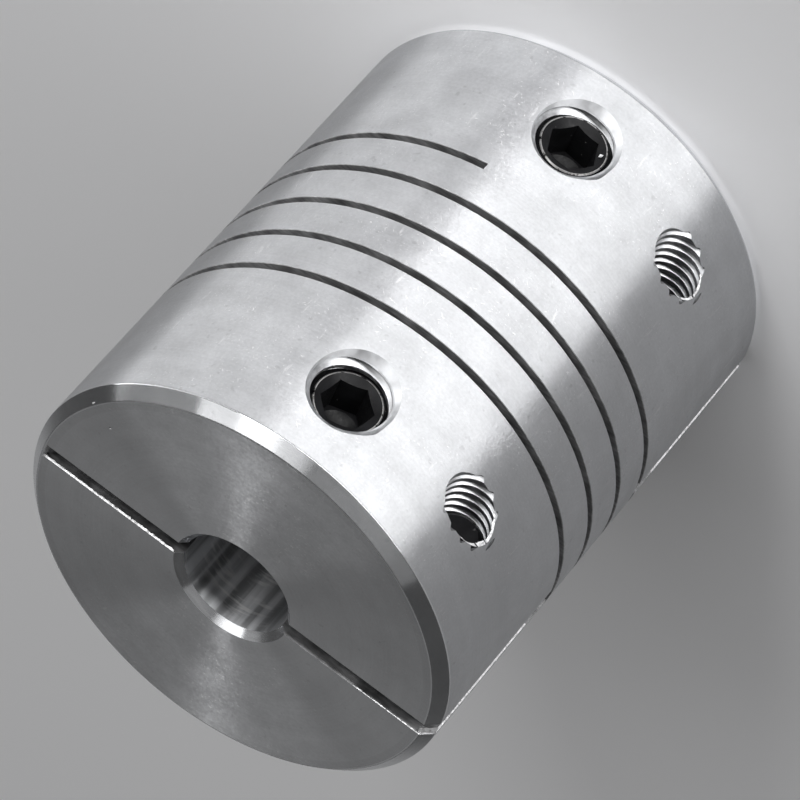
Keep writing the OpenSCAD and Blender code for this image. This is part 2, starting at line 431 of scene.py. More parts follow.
def softened(outline, width):
    """The outline with each inner corner replaced by a small round of three points."""
    points = [Vector(point) for point in outline]
    rounded = [points[0]]
    for before, corner, after in zip(points, points[1:], points[2:]):
        start = corner + (before - corner).normalized() * width
        end = corner + (after - corner).normalized() * width
        rounded += [start, (start + 2 * corner + end) / 4, end]
    return rounded + [points[-1]]


def revolve(name, outline, segments):
    """Spins a line that starts and ends on the Z axis into a closed solid."""
    piece = trace(name, outline)
    bpy.ops.mesh.spin(steps=segments, angle=TURN, center=(0, 0, 0), axis=(0, 0, 1))
    clean_mesh()
    go("OBJECT")
    return piece


def close_ends(piece):
    """Fills the two open ends of a swept tube."""
    middle = sum(vertex.co.z for vertex in piece.data.vertices) / len(piece.data.vertices)
    go("EDIT")
    bpy.ops.mesh.select_mode(type="EDGE")
    for lower in (True, False):
        bpy.ops.mesh.select_all(action="DESELECT")
        mesh = bmesh.from_edit_mesh(piece.data)
        for edge in mesh.edges:
            if edge.is_boundary and (edge.verts[0].co.z < middle) == lower:
                edge.select_set(True)
        bmesh.update_edit_mesh(piece.data)
        bpy.ops.mesh.edge_face_add()


def sweep_helix(name, section, pitch, turns, steps_per_turn):
    """Sweeps a closed section of (radius, height) points up a right-hand helix round Z."""
    piece = trace(name, section)
    bpy.ops.mesh.edge_face_add()
    go("OBJECT")
    steps = math.ceil(steps_per_turn * turns)
    sweep = {"angle": TURN * turns, "screw_offset": pitch * turns, "iterations": 1}
    modify(piece, "SCREW", **sweep, steps=steps, render_steps=steps)
    close_ends(piece)
    clean_mesh()
    go("OBJECT")
    return piece


def put(piece, matrix):
    """Moves a piece by a matrix and leaves its object at the origin."""
    pick(piece)
    piece.matrix_world = matrix @ piece.matrix_world
    bpy.ops.object.transform_apply(location=True, rotation=True, scale=True)
    return piece


def across(x, z):
    """Matrix that lays a piece's own +Z along +Y, through the point (x, 0, z)."""
    return Matrix.Translation((x, 0, z)) @ Matrix.Rotation(-TURN / 4, 4, "X")


def add_cylinder(name, radius, low, high, sides):
    """An upright cylinder between two heights."""
    leave_selection()
    bpy.ops.mesh.primitive_cylinder_add(
        vertices=sides, radius=radius, depth=high - low, location=(0, 0, (low + high) / 2)
    )
    bpy.context.object.name = name
    return put(bpy.context.object, Matrix.Identity(4))


def add_cone(name, low_radius, high_radius, low, high, sides):
    """An upright cone frustum between two heights."""
    leave_selection()
    bpy.ops.mesh.primitive_cone_add(
        vertices=sides,
        radius1=low_radius,
        radius2=high_radius,
        depth=high - low,
        location=(0, 0, (low + high) / 2),
    )
    bpy.context.object.name = name
    return put(bpy.context.object, Matrix.Identity(4))


def clad(piece, material):
    """Gives a piece one material."""
    piece.data.materials.clear()
    piece.data.materials.append(material)


def cut(piece, cutter, material):
    """Takes a cutter away from a piece and gives the cut faces the cutter's material."""
    clad(cutter, material)
    faces_before = len(piece.data.polygons)
    pick(piece)
    method = {"operation": "DIFFERENCE", "solver": "MANIFOLD", "material_mode": "TRANSFER"}
    modify(piece, "BOOLEAN", **method, object=cutter)
    bpy.data.objects.remove(cutter)
    if len(piece.data.polygons) == faces_before:
        raise RuntimeError(f"{piece.name} wasn't cut")


def drop_films(piece):
    """Deletes faces that lie back to back on the same corners, which a cut can leave."""
    pick(piece)
    go("EDIT")
    bpy.ops.mesh.select_mode(type="FACE")
    bpy.ops.mesh.select_all(action="DESELECT")
    mesh = bmesh.from_edit_mesh(piece.data)
    uses = Counter(frozenset(face.verts) for face in mesh.faces)
    for face in mesh.faces:
        if uses[frozenset(face.verts)] > 1:
            face.select_set(True)
    bmesh.update_edit_mesh(piece.data)
    bpy.ops.mesh.delete(type="FACE")
    go("OBJECT")


def finish_piece(piece, name, replaced):
    """Names a finished piece, smooths its shading and sets it on the frame in place of a node."""
    pick(piece)
    bpy.ops.object.shade_smooth_by_angle(angle=math.radians(SMOOTH_ANGLE))
    piece.name = name
    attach(piece, ROOT)
    if replaced:
        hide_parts(replaced)


# Node helpers, where skin is the surface whose nodes they add to


def feed(skin, socket, value):
    """Links a socket to another node's socket, or sets it to a plain value or colour."""
    if isinstance(value, bpy.types.NodeSocket):
        skin.tree.links.new(value, socket)
    elif socket.type == "RGBA":
        socket.default_value = (*value, 1.0)
    else:
        socket.default_value = value


def node(skin, kind, inputs=None, **settings):
    """Adds a shader node. Its inputs are sockets of other nodes, or plain values."""
    made = skin.tree.nodes.new(kind)
    for name, value in settings.items():
        setattr(made, name, value)
    for name, value in (inputs or {}).items():
        feed(skin, made.inputs[name], value)
    return made


def maths(skin, operation, *values):
    """Output of a math node."""
    return node(skin, "ShaderNodeMath", dict(enumerate(values)), operation=operation).outputs[0]


def product(skin, result, *factors):
    """Output of a chain of math nodes that multiply."""
    for value in factors:
        result = maths(skin, "MULTIPLY", result, value)
    return result


def size_of(skin, vector):
    """Length of a vector."""
    return node(skin, "ShaderNodeVectorMath", {0: vector}, operation="LENGTH").outputs["Value"]


def ramp(skin, value, low, high, new_low=0.0, new_high=1.0):
    """Output of a map range node, clamped at both ends."""
    inputs = {0: value, 1: low, 2: high, 3: new_low, 4: new_high}
    return node(skin, "ShaderNodeMapRange", inputs, clamp=True).outputs[0]


def mixed(skin, share, first, second):
    """Colour between two colours, by a share of the second."""
    made = node(skin, "ShaderNodeMix", {"Factor": share}, data_type="RGBA")
    feed(skin, made.inputs[6], first)
    feed(skin, made.inputs[7], second)
    return made.outputs[2]


def mapped(skin, vector, scale, turn=(0, 0, 0), shift=(0, 0, 0)):
    """A vector moved, turned and scaled by a mapping node."""
    inputs = {"Vector": vector, "Location": shift, "Rotation": turn, "Scale": scale}
    return node(skin, "ShaderNodeMapping", inputs).outputs[0]


def noise(skin, kind, place=None):
    """Factor of a kind of noise, in its span. It varies with the object's own coordinates, or
    with another vector, or in rings with a single length."""
    place = place or skin.place
    if kind.stretch:
        place = mapped(skin, place, kind.stretch)
    rings = place.type == "VALUE"
    inputs = {"Scale": kind.scale, "Detail": kind.detail, "Roughness": kind.roughness}
    inputs["W" if rings else "Vector"] = place
    made = node(skin, "ShaderNodeTexNoise", inputs, noise_dimensions="1D" if rings else "3D")
    value = made.outputs["Fac"]
    return ramp(skin, value, *kind.span) if kind.span else value


class Surface:
    """A new material with its object coordinates and its shader. The turning marks of an
    anisotropic one lie round the Z axis."""

    def __init__(self, name, roughness, metallic=1.0, anisotropy=0.0):
        self.material = bpy.data.materials.new(name)
        self.material.use_nodes = True
        self.tree = self.material.node_tree
        self.shader = self.tree.nodes["Principled BSDF"]
        self.set("Metallic", metallic)
        self.set("Roughness", roughness)
        self.set("Anisotropic", anisotropy)
        self.place = node(self, "ShaderNodeTexCoord").outputs["Object"]
        if anisotropy:
            tangent = node(self, "ShaderNodeTangent", direction_type="RADIAL", axis="Z")
            self.set("Tangent", tangent.outputs[0])
            self.set("Anisotropic Rotation", QUARTER_TURN)

    def set(self, name, value):
        """Sets or links one input of the shader."""
        feed(self, self.shader.inputs[name], value)

    def shade(self, share, tone):
        """Colours the surface between black and a colour, by a share of the colour."""
        self.set("Base Color", mixed(self, share, BLACK, tone))

    def work(self, look, tone):
        """Gives the surface a look that comes from one noise, and returns its material."""
        texture = noise(self, look.noise)
        self.shade(ramp(self, texture, *look.shade), tone)
        if look.gloss:
            self.set("Roughness", ramp(self, texture, *look.gloss))
        self.bump(texture, look.bump)
        return self.material

    def bump(self, height, depth, strength=1.0):
        """Raises the surface by a height from 0 to 1 times a depth in metres."""
        inputs = {"Height": height, "Distance": depth, "Strength": strength}
        self.set("Normal", node(self, "ShaderNodeBump", inputs).outputs[0])


# Materials


def turned_aluminium(finish):
    """Bare aluminium off the lathe: fine rings round the axis, light handling marks and specks."""
    base = finish.turned_roughness
    skin = Surface("turned_aluminium", roughness=base, anisotropy=finish.turned_grain)

    along = node(skin, "ShaderNodeSeparateXYZ", {0: skin.place}).outputs["Z"]
    radius = size_of(skin, mapped(skin, skin.place, (1, 1, 0)))
    travel = maths(skin, "ADD", along, radius)
    fine_rings = noise(skin, FINE_RINGS, travel)
    broad_rings = noise(skin, BROAD_RINGS, travel)
    cloud = noise(skin, CLOUDS)
    mottle = noise(skin, MOTTLE)
    scratches = 0.0
    for lean, stretch in SCRATCH_LAYS:
        leaning = mapped(skin, skin.place, (1, 1, 1), (0, lean, 0))
        marks = noise(skin, SCRATCHES._replace(stretch=(stretch, 1, 1)), leaning)
        scratches = maths(skin, "MAXIMUM", scratches, marks)
    scuffs = maths(skin, "MAXIMUM", noise(skin, SCUFFS), scratches)
    from_middle = maths(skin, "ABSOLUTE", maths(skin, "SUBTRACT", along, BODY_LENGTH / 2))
    reach = maths(skin, "ADD", from_middle, radius)
    corner = BODY_LENGTH / 2 + BODY_RADIUS - finish.chamfer_reach
    chamfer = ramp(skin, reach, corner, corner + CHAMFER_BLEND)
    inside = maths(skin, "SUBTRACT", 1.0, chamfer)
    scuffs = product(skin, scuffs, product(skin, noise(skin, HANDLED), inside))
    specks = noise(skin, SPECKS)

    step = RIM_SHARE * BODY_RADIUS
    shade = product(
        skin,
        ramp(skin, cloud, *CLOUD_SHADE),
        ramp(skin, radius, step, step + RIM_BLEND, 1.0, RIM_SHADE),
        ramp(skin, mottle, *MOTTLE_SHADE),
        ramp(skin, fine_rings, *RING_SHADE),
        ramp(skin, broad_rings, *RING_SHADE),
    )
    shade = maths(skin, "SUBTRACT", shade, product(skin, specks, SPECK_DEPTH))
    dulled = mixed(skin, shade, BLACK, finish.aluminium)
    scuffed = product(skin, scuffs, SCUFF_STRENGTH)
    skin.set("Base Color", mixed(skin, scuffed, dulled, SCUFFED))

    uneven = maths(skin, "MULTIPLY_ADD", cloud, CLOUD_GLOSS, product(skin, scuffs, SCUFF_GLOSS))
    uneven = maths(skin, "MULTIPLY_ADD", mottle, MOTTLE_GLOSS, uneven)
    uneven = maths(skin, "SUBTRACT", uneven, MEAN_GLOSS)
    evenness = maths(skin, "MULTIPLY_ADD", chamfer, -CHAMFER_EVENNESS, 1.0)
    gloss = maths(skin, "MULTIPLY_ADD", uneven, evenness, base)
    gloss = maths(skin, "MULTIPLY_ADD", chamfer, finish.chamfer_roughness - base, gloss)
    skin.set("Roughness", gloss)

    grain = product(skin, noise(skin, GRAIN), GRAIN_HEIGHT)
    rings = maths(skin, "MULTIPLY_ADD", fine_rings, RING_HEIGHT, grain)
    bumps = product(skin, mottle, ramp(skin, cloud, *CLOUD_HEIGHT))
    height = maths(skin, "ADD", bumps, rings)
    height = maths(skin, "MULTIPLY_ADD", scuffs, -SCUFF_DEPTH, height)
    end = BODY_LENGTH / 2
    flat_end = ramp(skin, from_middle, end - FLAT_END[0], end - FLAT_END[1])
    smoother = maths(skin, "MAXIMUM", chamfer, flat_end)
    strength = maths(skin, "MULTIPLY_ADD", smoother, -SMOOTHING, 1.0)
    skin.bump(height, finish.turned_relief, strength)
    return skin.material


def reamed_aluminium(finish):
    """Walls of the bores: drawn bands along the axis, scored across by the reamer."""
    skin = Surface("reamed_aluminium", roughness=0.42, anisotropy=0.6)
    bands = noise(skin, BORE_BANDS)
    scores = noise(skin, BORE_SCORES)
    patches = noise(skin, BORE_PATCHES)
    lines = product(skin, ramp(skin, scores, *SCORE_SPAN), patches, SCORE_STRENGTH)
    tone = mixed(skin, ramp(skin, bands, *BORE_SHADE), BLACK, finish.aluminium)
    skin.set("Base Color", mixed(skin, lines, tone, SCORED))
    skin.set("Roughness", ramp(skin, bands, *BORE_GLOSS))
    skin.bump(maths(skin, "ADD", scores, bands), CUT_BUMP)
    return skin.material


def sawn_aluminium(finish, name, metallic):
    """Walls of the slits and of the helical cut, dull and scored along the cut."""
    skin = Surface(name, roughness=0.5, metallic=metallic)
    marks = noise(skin, CUT_MARKS)
    patches = noise(skin, CUT_PATCHES)
    dark = product(skin, ramp(skin, marks, *CUT_SHADE), ramp(skin, patches, *CUT_PATCH_SHADE))
    skin.shade(dark, finish.cut_aluminium)
    skin.set("Roughness", ramp(skin, patches, *CUT_GLOSS))
    skin.bump(marks, CUT_BUMP)
    return skin.material


def tapped_aluminium(finish, name, x, z, thread):
    """Flanks of a tapped hole, torn a little by the tap, with painted shade darkening the roots of
    the thread.
    """
    skin = Surface(name, roughness=0.24)
    tears = noise(skin, TAP_TEARS)
    patches = noise(skin, TAP_PATCHES)
    reach = size_of(skin, mapped(skin, skin.place, (1, 0, 1), shift=(-x, 0, -z)))
    # Painted shade: the colour darkens from the middle of the flanks towards the roots of the
    # thread
    middle = (thread.radius + thread.minor) / 2
    painted_root_shade = ramp(skin, reach, middle, thread.radius, 1.0, PAINTED_ROOT_SHADE)
    dark = product(skin, ramp(skin, tears, *TAP_SHADE), patches, painted_root_shade)
    skin.shade(dark, finish.aluminium)
    skin.set("Roughness", ramp(skin, tears, *TAP_GLOSS))
    skin.bump(tears, TAP_BUMP)
    return skin.material


def black_oxide(finish):
    """Oiled black oxide of the screws, with a fine grain and a few pale specks."""
    skin = Surface("black_oxide", roughness=0.4, metallic=0.0)
    skin.set("Specular IOR Level", OXIDE_SPECULAR)
    grain = noise(skin, OXIDE_GRAIN)
    pale = [2 * value for value in finish.black_oxide]
    tone = mixed(skin, noise(skin, OXIDE_PATCHES), finish.black_oxide, pale)
    specks = product(skin, noise(skin, OXIDE_SPECKS), OXIDE_SPECK_STRENGTH)
    skin.set("Base Color", mixed(skin, specks, tone, finish.worn_and_highlight_steel))
    skin.set("Roughness", ramp(skin, grain, *OXIDE_GLOSS))
    skin.bump(grain, OXIDE_BUMP)
    return skin.material


def worn_and_highlight_steel(finish):
    """Bare steel where handling has rubbed the black off a screw's edge, pale enough to serve also
    as a painted highlight on that edge.
    """
    skin = Surface("worn_and_highlight_steel", roughness=0.3)
    patches = noise(skin, RUBBED)
    bare = ramp(skin, patches, *RUBBED_SPAN)
    skin.set("Base Color", mixed(skin, bare, finish.black_oxide, finish.worn_and_highlight_steel))
    skin.set("Roughness", ramp(skin, patches, *RUBBED_GLOSS))
    skin.bump(patches, CUT_BUMP)
    return skin.material


# Body


def blank_outline(sizes):
    """Outline of the turned blank, from the lower middle round to the upper one."""
    chamfer = sizes.edge_chamfer
    corners = [
        (0, 0),
        (BODY_RADIUS - chamfer, 0),
        (BODY_RADIUS, chamfer),
        (BODY_RADIUS, BODY_LENGTH - chamfer),
        (BODY_RADIUS - chamfer, BODY_LENGTH),
        (0, BODY_LENGTH),
    ]
    return softened(corners, sizes.edge_softness)


def bore_outline(sizes, low, high):
    """Outline of both bores with the relief between them, which runs from low to high."""
    relief = max(UPPER_BORE_RADIUS, LOWER_BORE_RADIUS) + sizes.relief_depth
    return [
        (0, -OVERCUT),
        (LOWER_BORE_RADIUS, -OVERCUT),
        (LOWER_BORE_RADIUS, low),
        (relief, low),
        (relief, high),
        (UPPER_BORE_RADIUS, high),
        (UPPER_BORE_RADIUS, BODY_LENGTH + OVERCUT),
        (0, BODY_LENGTH + OVERCUT),
    ]


def groove_section(sizes, middle):
    """Section of the helical cut, with its outer edges broken by a small flare."""
    half = sizes.groove_width / 2
    edge = BODY_RADIUS - EDGE_BREAK
    outside = BODY_RADIUS + GROOVE_OVERCUT
    flare = half + outside - edge
    inside = min(UPPER_BORE_RADIUS, LOWER_BORE_RADIUS) - GROOVE_OVERCUT
    return [
        (inside, middle - half),
        (edge, middle - half),
        (outside, middle - flare),
        (outside, middle + flare),
        (edge, middle + half),
        (inside, middle + half),
    ]


def slit_cutters(sizes, face, inner):
    """Round saw and straight run that cut one slit from an end face to the height inner."""
    saw = sizes.saw_radius
    inwards = math.copysign(1, inner - face)
    saw_z = inner - inwards * saw
    reach = math.sqrt(saw**2 - (saw_z - face) ** 2)
    saw_x = sizes.hinge_wall - BODY_RADIUS + reach
    disc = add_cylinder("saw", saw, -sizes.slit_width / 2, sizes.slit_width / 2, SAW_SIDES)
    put(disc, across(saw_x, saw_z))
    leave_selection()
    outside = face - inwards * OVERCUT
    run = 2 * BODY_RADIUS
    bpy.ops.mesh.primitive_cube_add(
        size=1,
        location=(saw_x + run / 2, 0, (inner + outside) / 2),
        scale=(run, sizes.slit_width, abs(inner - outside)),
    )
    return disc, put(bpy.context.object, Matrix.Identity(4))


def tooth(inside, inside_half, outside, outside_half, middle):
    """Section of a thread cutter: two radii, half the height at each and the middle's height."""
    return [
        (inside, middle - inside_half),
        (outside, middle - outside_half),
        (outside, middle + outside_half),
        (inside, middle + inside_half),
    ]


def set_thread(sizes):
    """Thread of a set screw and its tapped hole."""
    return Thread(sizes.set_radius, sizes.set_minor, sizes.set_pitch, SET_TAP_START)


def clamp_thread(sizes):
    """Thread of a clamp screw and its tapped hole."""
    return Thread(sizes.clamp_radius, sizes.clamp_minor, sizes.clamp_pitch, 0)


def tap_hole(body, finish, screw_name, x, z, thread, sides):
    """Drills and taps a hole along +Y, from the thread's start to outside the body."""
    radius, minor, pitch, start = thread
    material = tapped_aluminium(finish, screw_name + "_thread", x, z, thread)
    end = BODY_RADIUS + OVERCUT
    drill = add_cylinder("drill", minor, start, end, sides)
    cut(body, put(drill, across(x, z)), material)
    if x > minor:
        end = math.sqrt(BODY_RADIUS**2 - (x - minor) ** 2) - pitch / 3
    root = pitch * THREAD_FLAT
    inside = minor - THREAD_OVERCUT
    section = tooth(inside, root + (radius - inside) * FLANK_SLOPE, radius, root, start)
    tap = sweep_helix("tap", section, pitch, (end - start) / pitch, THREAD_STEPS)
    cut(body, put(tap, across(x, z)), material)


class BuildBody(bpy.types.Operator):
    """Models the coupling's body: turned, bored, cut in a helix, slit, drilled and tapped"""

    bl_idname = "coupling.build_body"
    bl_label = "Body"

    def execute(self, context):
        sizes = context.scene.coupling_body
        screws = context.scene.coupling_screws
        finish = context.scene.coupling_finish
        segments = sizes.segments
        turned = turned_aluminium(finish)
        reamed = reamed_aluminium(finish)
        gloss = finish.chamfer_roughness
        chamfered = Surface("chamfered_aluminium", roughness=gloss, anisotropy=0.7)
        chamfered = chamfered.work(CHAMFERED, finish.aluminium)
        sawn = sawn_aluminium(finish, "sawn_aluminium", metallic=1.0)
        milled = sawn_aluminium(finish, "milled_aluminium", metallic=0.8)
        countersunk = Surface("countersunk_aluminium", roughness=0.38)
        countersunk = countersunk.work(COUNTERSUNK, finish.aluminium)

        body = revolve("blank", blank_outline(sizes), segments)
        clad(body, turned)

        pitch = sizes.groove_pitch
        rise = pitch * sizes.groove_turns
        low = BODY_LENGTH / 2 + sizes.groove_shift - rise / 2
        high = low + rise
        outline = bore_outline(sizes, low - sizes.relief_overrun, high + sizes.relief_overrun)
        cut(body, revolve("bores", outline, segments), reamed)
        wide = LOWER_BORE_RADIUS + sizes.bore_chamfer + OVERCUT
        cone = add_cone("chamfer", wide, 0, -OVERCUT, wide - OVERCUT, segments)
        cut(body, cone, chamfered)
        wide = UPPER_BORE_RADIUS + sizes.bore_chamfer + OVERCUT
        high_face = BODY_LENGTH + OVERCUT
        cone = add_cone("chamfer", 0, wide, high_face - wide, high_face, segments)
        cut(body, cone, chamfered)

        section = groove_section(sizes, low)
        groove = sweep_helix("groove", section, pitch, sizes.groove_turns, GROOVE_STEPS)
        cut(body, put(groove, Matrix.Rotation(sizes.groove_start, 4, "Z")), milled)

        first_pass = low + pitch * (TURN - sizes.groove_start) / TURN
        end_angle = sizes.groove_start + TURN * sizes.groove_turns
        last_pass = first_pass + pitch * (math.floor(end_angle / TURN) - 1)
        for face, inner in ((0, first_pass), (BODY_LENGTH, last_pass)):
            for cutter in slit_cutters(sizes, face, inner):
                cut(body, cutter, sawn)

        sides = screws.segments
        rim = screws.set_radius + screws.countersink
        radii = (rim - COUNTERSINK_DEPTH, rim + OVERCUT)
        heights = (BODY_RADIUS - COUNTERSINK_DEPTH, BODY_RADIUS + OVERCUT)
        for name in SET_SCREWS:
            z = node_middle(name).z
            tap_hole(body, finish, name, 0, z, set_thread(screws), sides)
            sink = add_cone("countersink", *radii, *heights, sides)
            cut(body, put(sink, across(0, z)), countersunk)
        seat = -screws.clamp_seat
        for name in CLAMP_SCREWS:
            x, _, z = node_middle(name)
            tap_hole(body, finish, name, x, z, clamp_thread(screws), sides)
            hole = add_cylinder("clearance", screws.clearance, seat - OVERCUT, 0, sides)
            cut(body, put(hole, across(x, z)), countersunk)
            bottom = -BODY_RADIUS - OVERCUT
            bore = add_cylinder("counterbore", screws.counterbore, bottom, seat, sides)
            cut(body, put(bore, across(x, z)), countersunk)

        pit_low = BODY_LENGTH - PIT_RADIUS
        pit = add_cone("pit", 0, PIT_RADIUS, pit_low, BODY_LENGTH + PIT_RADIUS, PIT_SIDES)
        cut(body, put(pit, Matrix.Translation(PIT_PLACE)), sawn)

        drop_films(body)
        finish_piece(body, "turned_body", "coupling_body")
        return {"FINISHED"}


# Screws


def threaded_blank(name, outline, sizes, thread, low, high, material):
    """Turns a screw and cuts its thread between two heights, in step with its tapped hole."""
    screw = revolve(name + "_blank", outline, sizes.segments)
    clad(screw, material)
    play = sizes.thread_play
    radius, minor, pitch, start = thread
    root = minor - 2 * play
    outer = radius + play
    flat = pitch * THREAD_FLAT
    root_half = pitch / 2 - flat - (radius - root) * FLANK_SLOPE + play
    outer_half = pitch / 2 - flat - (radius - outer) * FLANK_SLOPE
    first = start + pitch / 2
    first += pitch * math.floor((low - first) / pitch)
    section = tooth(root, root_half, outer, outer_half, first)
    turns = (high - first) / pitch
    cut(screw, sweep_helix("die", section, pitch, turns, THREAD_STEPS), material)
    return screw


def cut_socket(screw, flats, top, depth, turn, material):
    """Sinks a hexagon socket down from a height, with a drilled point at its bottom."""
    half_side = TURN / (2 * HEXAGON)
    floor = top - depth
    corner = flats / 2 / math.cos(half_side)
    socket = add_cylinder("socket", corner, floor, top + OVERCUT, HEXAGON)
    put(socket, Matrix.Rotation(turn - half_side, 4, "Z"))
    point_top = floor + THREAD_OVERCUT
    point = add_cone("point", 0, flats / 2, floor - flats / 4, point_top, POINT_SIDES)
    cut(screw, point, material)
    cut(screw, socket, material)


def paint_rubbed_highlight(piece, rubbed_highlight, low_radius, high_radius, top):
    """Gives a narrow ring of a screw's outer end the rubbed finish, which is also a painted
    highlight on its edge.
    """
    piece.data.materials.append(rubbed_highlight)
    index = len(piece.data.materials) - 1
    for face in piece.data.polygons:
        radius = math.hypot(face.center.x, face.center.y)
        if low_radius < radius < high_radius and abs(face.center.z - top) < EDGE_WEAR_AND_HIGHLIGHT:
            face.material_index = index


class BuildSetScrews(bpy.types.Operator):
    """Models the two set screws with their threads and sockets"""

    bl_idname = "coupling.build_set_screws"
    bl_label = "Set screws"

    def execute(self, context):
        sizes = context.scene.coupling_screws
        black = black_oxide(context.scene.coupling_finish)
        rubbed_highlight = worn_and_highlight_steel(context.scene.coupling_finish)
        radius = sizes.set_radius - sizes.thread_play
        flat = sizes.set_flat
        cup = sizes.set_cup
        bevel = (radius - cup) / 2
        for name, turn in zip(SET_SCREWS, (sizes.lower_turn, sizes.upper_turn)):
            low, high = (corner.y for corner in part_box(name))
            outline = [
                (0, low + cup / 2),
                (cup / 2, low + cup / 2),
                (cup, low),
                (radius - bevel, low),
                (radius, low + bevel),
                (radius, high - (radius - flat)),
                (flat + EDGE_WEAR_AND_HIGHLIGHT, high - EDGE_WEAR_AND_HIGHLIGHT),
                (flat, high),
                (flat - EDGE_WEAR_AND_HIGHLIGHT, high),
                (sizes.set_socket / 2, high - sizes.set_dish),
                (0, high - sizes.set_dish),
            ]
            thread = set_thread(sizes)
            screw = threaded_blank(name, outline, sizes, thread, low, high, black)
            # Painted highlight: a pale ring of rubbed steel round the edge of the flat end
            paint_rubbed_highlight(screw, rubbed_highlight, flat - EDGE_WEAR_AND_HIGHLIGHT, flat + EDGE_WEAR_AND_HIGHLIGHT, high)
            cut_socket(screw, sizes.set_socket, high, sizes.set_depth, turn, black)
            put(screw, across(0, node_middle(name).z))
            finish_piece(screw, name + "_threaded", name)
        return {"FINISHED"}


class BuildClampScrews(bpy.types.Operator):
    """Models the two clamp screws with their heads, threads and sockets"""

    bl_idname = "coupling.build_clamp_screws"
    bl_label = "Clamp screws"

    def execute(self, context):
        sizes = context.scene.coupling_screws
        black = bpy.data.materials["black_oxide"]
        radius = sizes.clamp_radius - sizes.thread_play
        pitch = sizes.clamp_pitch
        for name in CLAMP_SCREWS:
            corner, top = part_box(name)
            head_radius = (top.x - corner.x) / 2
            head_top = corner.y
            seat = head_top + sizes.head_height
            outline = [
                (0, head_top),
                (head_radius - sizes.head_bevel, head_top),
                (head_radius, head_top + sizes.head_bevel),
                (head_radius, seat),
                (radius, seat),
                (radius, top.y - pitch),
                (radius - pitch, top.y),
                (0, top.y),
            ]
            low = seat + 2 * pitch
            high = top.y + pitch
            thread = clamp_thread(sizes)
            screw = threaded_blank(name, outline, sizes, thread, low, high, black)
            put(screw, Matrix.Rotation(TURN / 2, 4, "X"))
            cut_socket(screw, sizes.head_socket, -head_top, sizes.head_depth, 0, black)
            put(screw, Matrix.Rotation(TURN / 2, 4, "X"))
            middle = node_middle(name)
            put(screw, across(middle.x, middle.z))
            finish_piece(screw, name + "_threaded", name)
        return {"FINISHED"}


# Burrs


def torn_lip(material, name, path, lean, jag, seed):
    """A thin torn lip along a path of points. It leans out by a vector, with a jagged free edge."""
    lip = start_line(name, path[0])
    for before, after in zip(path, path[1:]):
        extrude(after - before)
    bpy.ops.mesh.select_all(action="SELECT")
    extrude(lean)
    bpy.ops.transform.vertex_random(offset=jag * LIP_JAG, seed=seed)
    go("OBJECT")
    modify(lip, "SOLIDIFY", thickness=LIP_THICKNESS, offset=0)
    go("EDIT")
    clean_mesh()
    go("OBJECT")
    clad(lip, material)
    finish_piece(lip, name, None)


def straight(start, end):
    """Points along a straight line, about a lip's step apart."""
    start = Vector(start)
    end = Vector(end)
    steps = max(2, round((end - start).length / LIP_STEP))
    return [start.lerp(end, index / steps) for index in range(steps + 1)]


def rim_path(x, z, radius, first, last):
    """Points round a cross hole's rim, between two angles in degrees, on the body's round side."""
    points = []
    for degrees in range(first, last + 1, RIM_STEP):
        across_hole = x + radius * math.cos(math.radians(degrees))
        height = z + radius * math.sin(math.radians(degrees))
        out = math.sqrt(BODY_RADIUS**2 - across_hole**2)
        points.append(Vector((across_hole, out, height)))
    return points


